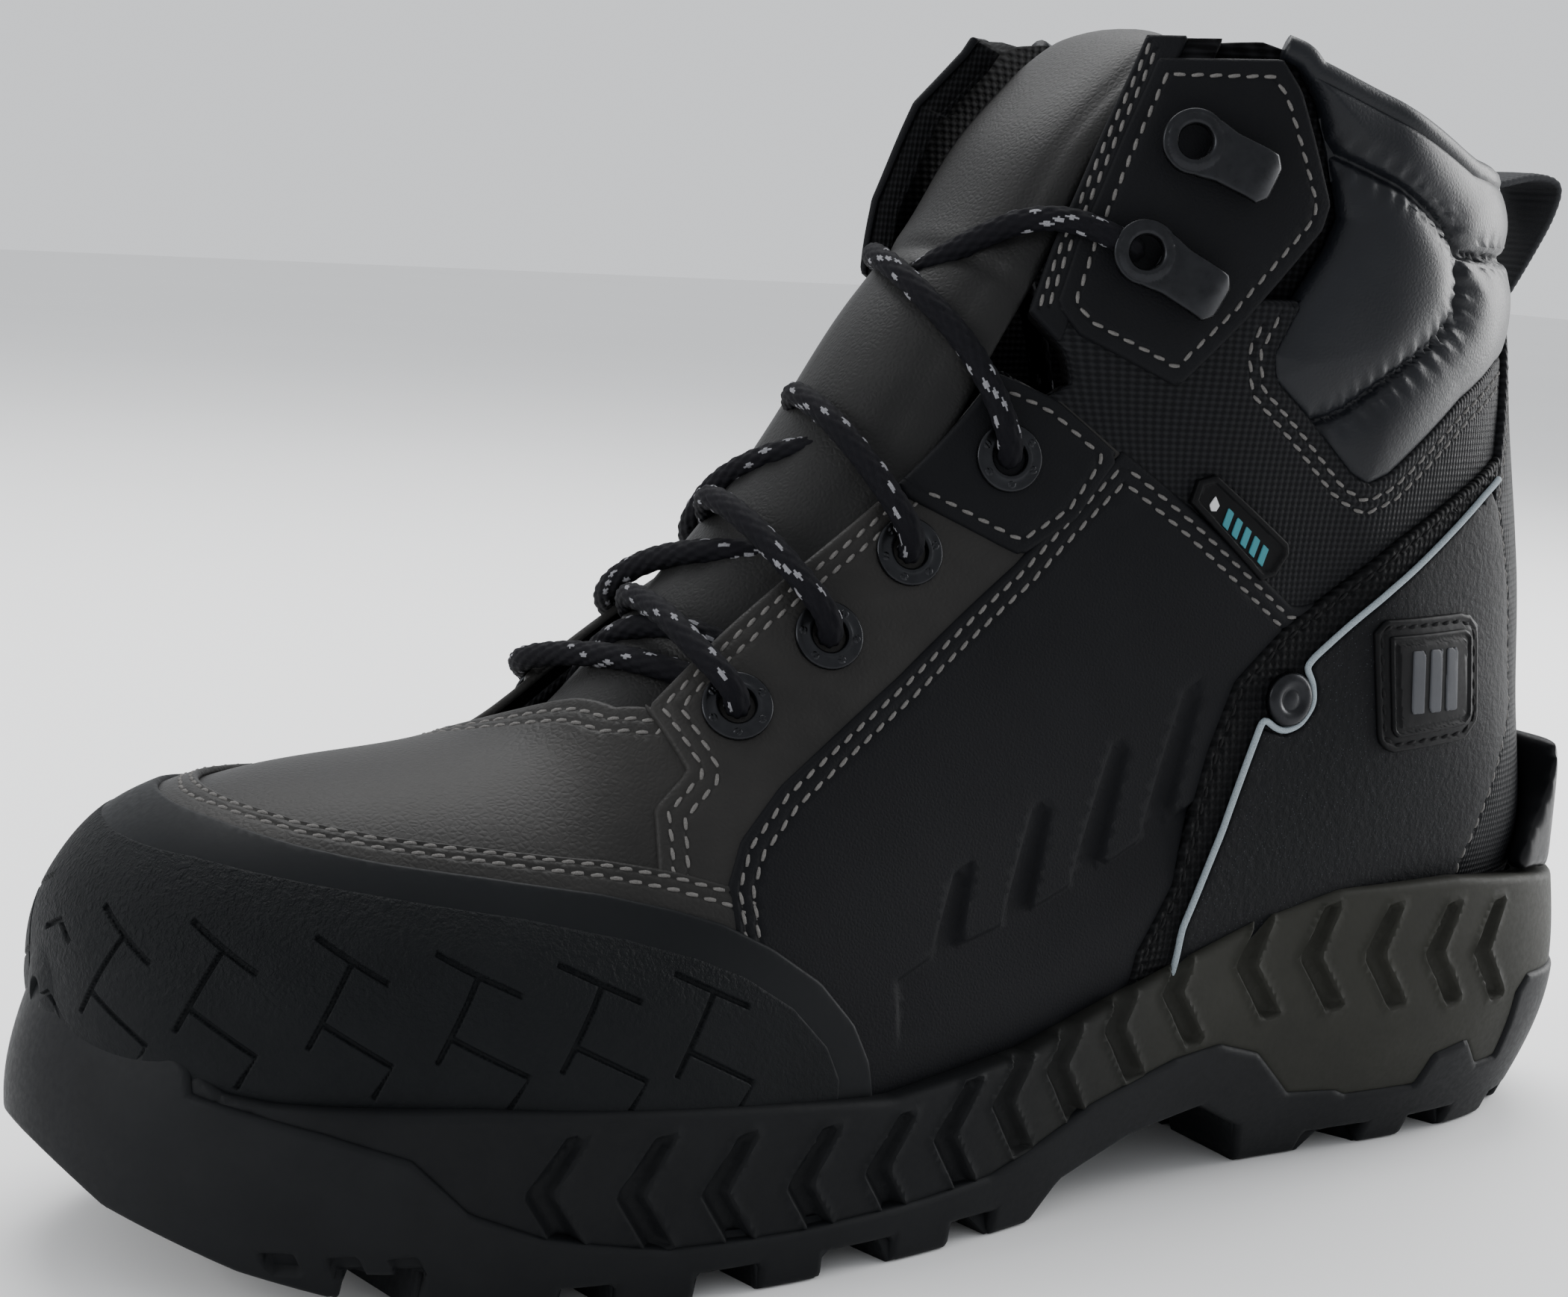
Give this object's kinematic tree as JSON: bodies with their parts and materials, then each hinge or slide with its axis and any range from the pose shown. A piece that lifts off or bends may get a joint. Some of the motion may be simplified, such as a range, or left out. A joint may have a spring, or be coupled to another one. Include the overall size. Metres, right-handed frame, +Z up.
{
  "type": "safety work boot",
  "caption": "Ankle-high laced safety work boot, left foot, with composite toe cap, rubber toe bumper, padded collar, lugged outsole, speed hooks and heel pull loop.",
  "frame": {"origin": "on the ground under the middle of the boot, at the bottom centre of its bounding box", "axes": "+X towards the toe, +Y towards the outer (lateral) side of the left foot, +Z up"},
  "size_m": [0.3146, 0.1043, 0.21],
  "materials": {
    "smooth_leather": "smooth grained black leather, slight sheen",
    "nubuck_leather": "matte black oiled leather",
    "woven_panel": "black textured woven panel",
    "padded_leather": "smooth black padded collar leather",
    "bumper_rubber": "black textured rubber toe bumper",
    "reflective_piping": "pale grey reflective piping",
    "heel_panel_fabric": "speckled black abrasion fabric",
    "badge_rubber": "blank moulded badge",
    "label": "small moulded side label",
    "outsole_rubber": "black outsole rubber",
    "midsole_foam": "dark olive grey foam, matte",
    "ledge_plastic": "black moulded plastic",
    "shank_steel": "spring steel",
    "board": "fibre board",
    "cap_composite": "glass filled composite",
    "stiffener_plastic": "thermoplastic sheet",
    "lining_mesh": "black spacer mesh",
    "footbed_foam": "fabric covered foam",
    "gunmetal": "dark gunmetal, satin",
    "webbing": "ribbed black webbing",
    "lace_cord": "round braid, black with grey and white flecks",
    "lace_tip_plastic": "black plastic lace tip"
  },
  "bodies": {
    "boot": {"ankle_panel": "woven_panel", "back_stay": "woven_panel", "bootie_lining": "lining_mesh", "bottom_filler": "board", "collar_lining": "lining_mesh", "collar_pad": "padded_leather", "eyelet_patch_lateral": "nubuck_leather", "eyelet_patch_medial": "nubuck_leather", "eyelets_lateral": "gunmetal", "eyelets_medial": "gunmetal", "footbed": "footbed_foam", "gusset_lateral": "lining_mesh", "gusset_medial": "lining_mesh", "heel_badge_lateral": "badge_rubber", "heel_badge_medial": "badge_rubber", "heel_binding_lateral": "nubuck_leather", "heel_binding_medial": "nubuck_leather", "heel_kick_ledge": "ledge_plastic", "heel_liner": "lining_mesh", "heel_panel_lateral": "heel_panel_fabric", "heel_panel_medial": "heel_panel_fabric", "heel_rivet_lateral": "gunmetal", "heel_rivet_medial": "gunmetal", "heel_stiffener": "stiffener_plastic", "hook_patch_lateral": "nubuck_leather", "hook_patch_medial": "nubuck_leather", "lace": "lace_cord", "lace_end_lateral": "lace_cord", "lace_end_medial": "lace_cord", "lace_hooks_lateral": "gunmetal", "lace_hooks_medial": "gunmetal", "lace_stay_lateral": "smooth_leather", "lace_stay_medial": "smooth_leather", "lace_tip_lateral": "lace_tip_plastic", "lace_tip_medial": "lace_tip_plastic", "lasting_board": "board", "midsole": "midsole_foam", "outsole": "outsole_rubber", "pull_loop_tabs": "webbing", "quarter_lateral": "nubuck_leather", "quarter_medial": "nubuck_leather", "reflective_piping_lateral": "reflective_piping", "reflective_piping_medial": "reflective_piping", "safety_toe_cap": "cap_composite", "shank": "shank_steel", "side_label": "label", "toe_bumper": "bumper_rubber", "toe_liner": "lining_mesh", "tongue": "smooth_leather", "tongue_seam": "smooth_leather", "tongue_upper": "smooth_leather", "vamp": "smooth_leather"},
    "tongue_fold": {"tongue_top": "smooth_leather"},
    "pull_loop": {"pull_loop": "webbing"}
  },
  "joints": [
    {"name": "tongue_fold", "type": "hinge", "parent": "boot", "child": "tongue_fold", "pos_m": [-0.0049, -0.002, 0.1715], "axis": [0, 1, 0], "range_deg": [0, 25]},
    {"name": "pull_loop_swing", "type": "hinge", "parent": "boot", "child": "pull_loop", "pos_m": [-0.1285, -0.002, 0.161], "axis": [0.1713, 0, 0.9852], "range_deg": [-20, 20]}
  ]
}
